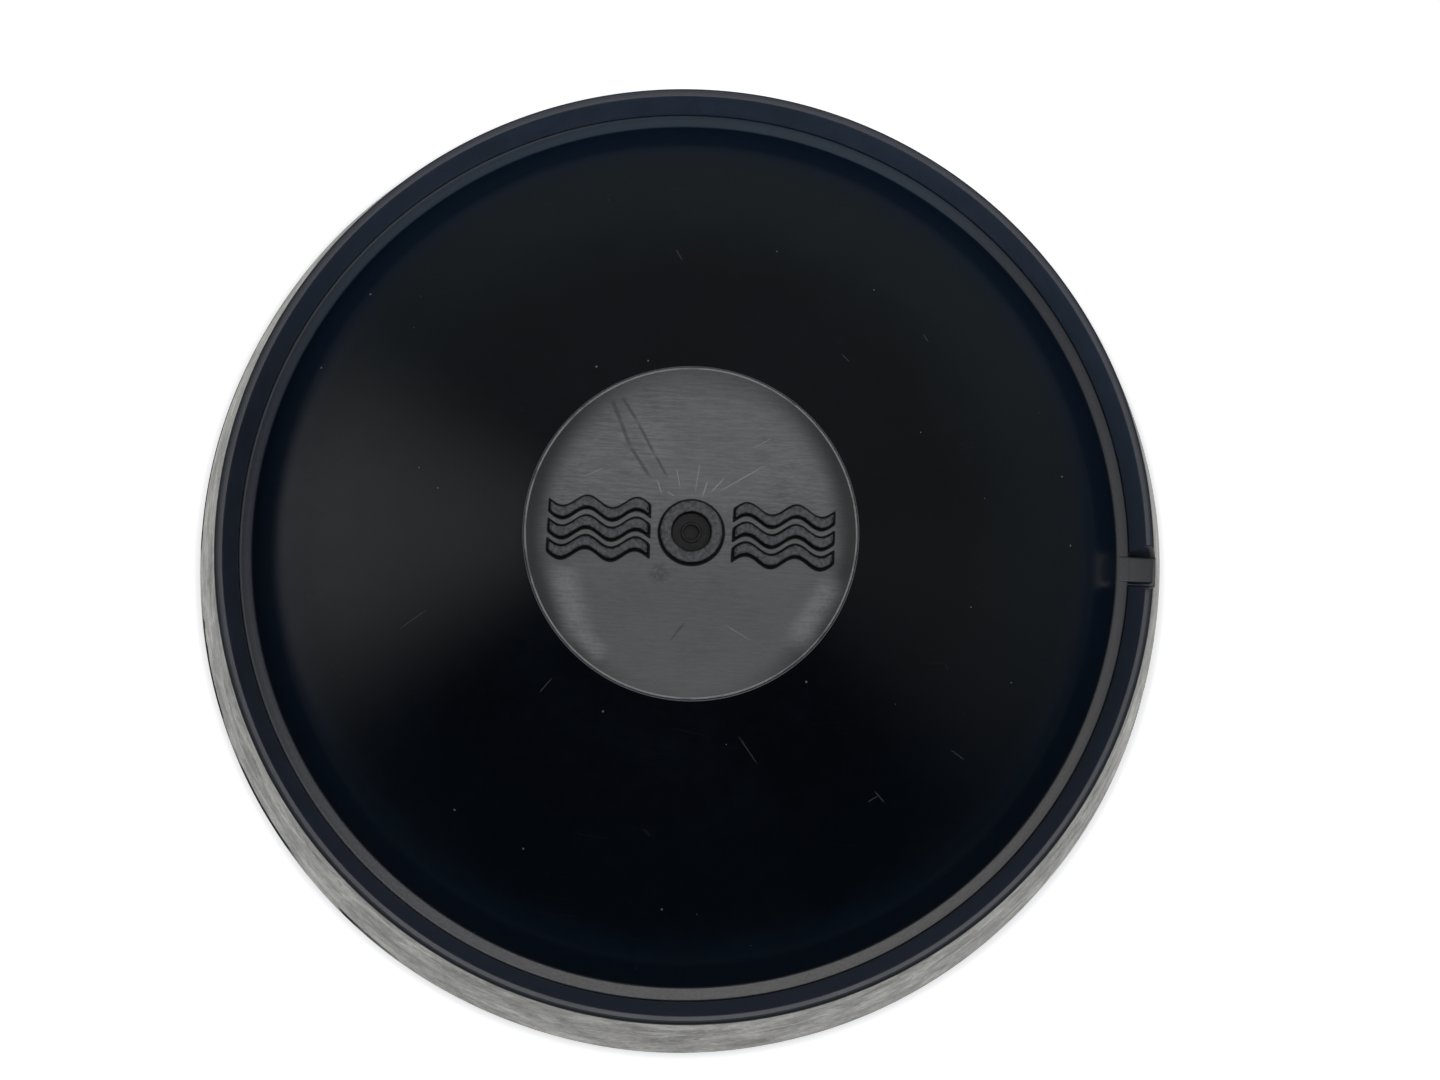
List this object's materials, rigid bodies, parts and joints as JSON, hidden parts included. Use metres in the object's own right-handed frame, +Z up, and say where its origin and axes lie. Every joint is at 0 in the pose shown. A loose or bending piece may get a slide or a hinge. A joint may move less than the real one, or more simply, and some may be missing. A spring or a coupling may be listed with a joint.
{
  "type": "sink plunger",
  "caption": "Low palm-push sink plunger: hard black dome with a satin crown disc, keyed and clamped into a flared rubber cup that flexes as the dome is pressed.",
  "frame": {"origin": "centre of the circle where the rubber lip rests on the sink, in the plane of that face", "axes": "+Z up out of the crown disc along the plunger's centre line; +X points at the notch in the rim that keys the dome to the cup"},
  "size_m": [0.1199, 0.12, 0.0388],
  "materials": {
    "dome_plastic": "gloss black moulding",
    "disc_plastic": "satin, finely brushed and scratched",
    "frame_plastic": "as moulded",
    "screw_steel": "bright zinc",
    "insert_brass": "turned",
    "washer_rubber": "matte",
    "cup_rubber": "smooth satin black rubber"
  },
  "bodies": {
    "cup_foot": {"cup_lip": "cup_rubber", "cup_wall": "cup_rubber"},
    "head": {"palm_dome": "dome_plastic", "crown_disc": "disc_plastic", "centre_screw": "screw_steel", "sealing_washer": "washer_rubber", "threaded_insert": "insert_brass", "inner_frame": "frame_plastic", "clamp_ring": "frame_plastic", "clamp_screws": "screw_steel", "cup_collar": "cup_rubber"}
  },
  "joints": [
    {"name": "plunge", "type": "slide", "parent": "cup_foot", "child": "head", "axis": [0, 0, -1], "range_m": [0, 0.0065], "stiffness_N_per_m": 3500, "deforming": ["cup_wall"]}
  ]
}
